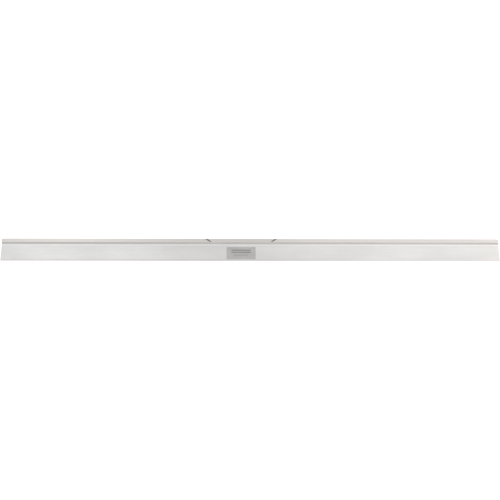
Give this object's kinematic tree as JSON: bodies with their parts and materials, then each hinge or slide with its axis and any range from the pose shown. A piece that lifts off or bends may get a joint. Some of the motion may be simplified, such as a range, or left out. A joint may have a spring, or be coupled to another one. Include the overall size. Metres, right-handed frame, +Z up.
{
  "type": "bull float",
  "caption": "Magnesium bull float blade: a long flat sole with an upturned nose, a hollow stiffening rail along the back and a slotted clamp seat for a handle bracket.",
  "frame": {"origin": "middle of the sole, at half the bar's length and half its width, on the sole plane", "axes": "+X along the bar to the right as seen from the leading edge, +Y towards the rail at the back, +Z up from the sole"},
  "size_m": [3.048, 0.1564, 0.022],
  "materials": {
    "magnesium": "satin, extruded",
    "cast_magnesium": "satin, cast and milled",
    "plate": "anodised, printed border and bars",
    "seal_rubber": "matte",
    "zinc_steel": "zinc plated",
    "dark_steel": "phosphated"
  },
  "bodies": {
    "float": {"float_blade": "magnesium", "mount_saddle": "cast_magnesium", "scarf_seal_left": "seal_rubber", "scarf_seal_right": "seal_rubber", "end_cap_left": "cast_magnesium", "end_cap_right": "cast_magnesium", "nameplate": "plate", "saddle_screw_1": "zinc_steel", "saddle_screw_2": "zinc_steel", "saddle_screw_3": "zinc_steel", "saddle_screw_4": "zinc_steel", "saddle_screw_5": "zinc_steel", "saddle_screw_6": "zinc_steel", "end_cap_screw_left_1": "zinc_steel", "end_cap_screw_left_2": "zinc_steel", "end_cap_screw_right_1": "zinc_steel", "end_cap_screw_right_2": "zinc_steel", "nameplate_rivet_1": "zinc_steel", "nameplate_rivet_2": "zinc_steel", "nameplate_rivet_3": "zinc_steel", "nameplate_rivet_4": "zinc_steel"},
    "left_nut": {"slot_nut_left": "dark_steel"},
    "left_washer": {"clamp_washer_left": "zinc_steel"},
    "left_screw": {"clamp_screw_left": "zinc_steel"},
    "right_nut": {"slot_nut_right": "dark_steel"},
    "right_washer": {"clamp_washer_right": "zinc_steel"},
    "right_screw": {"clamp_screw_right": "zinc_steel"}
  },
  "joints": [
    {"name": "left_nut_slide", "type": "slide", "parent": "float", "child": "left_nut", "axis": [1, 0, 0], "range_m": [-0.054, 0.116]},
    {"name": "left_clamp_lift", "type": "slide", "parent": "left_nut", "child": "left_washer", "axis": [0, 1, 0], "range_m": [0, 0.0024]},
    {"name": "left_clamp_turn", "type": "hinge", "parent": "left_washer", "child": "left_screw", "pos_m": [-0.18, 0.0762, 0.01255], "axis": [0, 1, 0], "range_deg": [0, 1080]},
    {"name": "right_nut_slide", "type": "slide", "parent": "float", "child": "right_nut", "axis": [1, 0, 0], "range_m": [-0.116, 0.054]},
    {"name": "right_clamp_lift", "type": "slide", "parent": "right_nut", "child": "right_washer", "axis": [0, 1, 0], "range_m": [0, 0.0024]},
    {"name": "right_clamp_turn", "type": "hinge", "parent": "right_washer", "child": "right_screw", "pos_m": [0.07, 0.0762, 0.01255], "axis": [0, 1, 0], "range_deg": [0, 1080]}
  ],
  "couplings": [
    {"joint": "left_clamp_turn", "follows": "left_clamp_lift", "rad_per_m": 7854},
    {"joint": "right_clamp_turn", "follows": "right_clamp_lift", "rad_per_m": 7854}
  ]
}
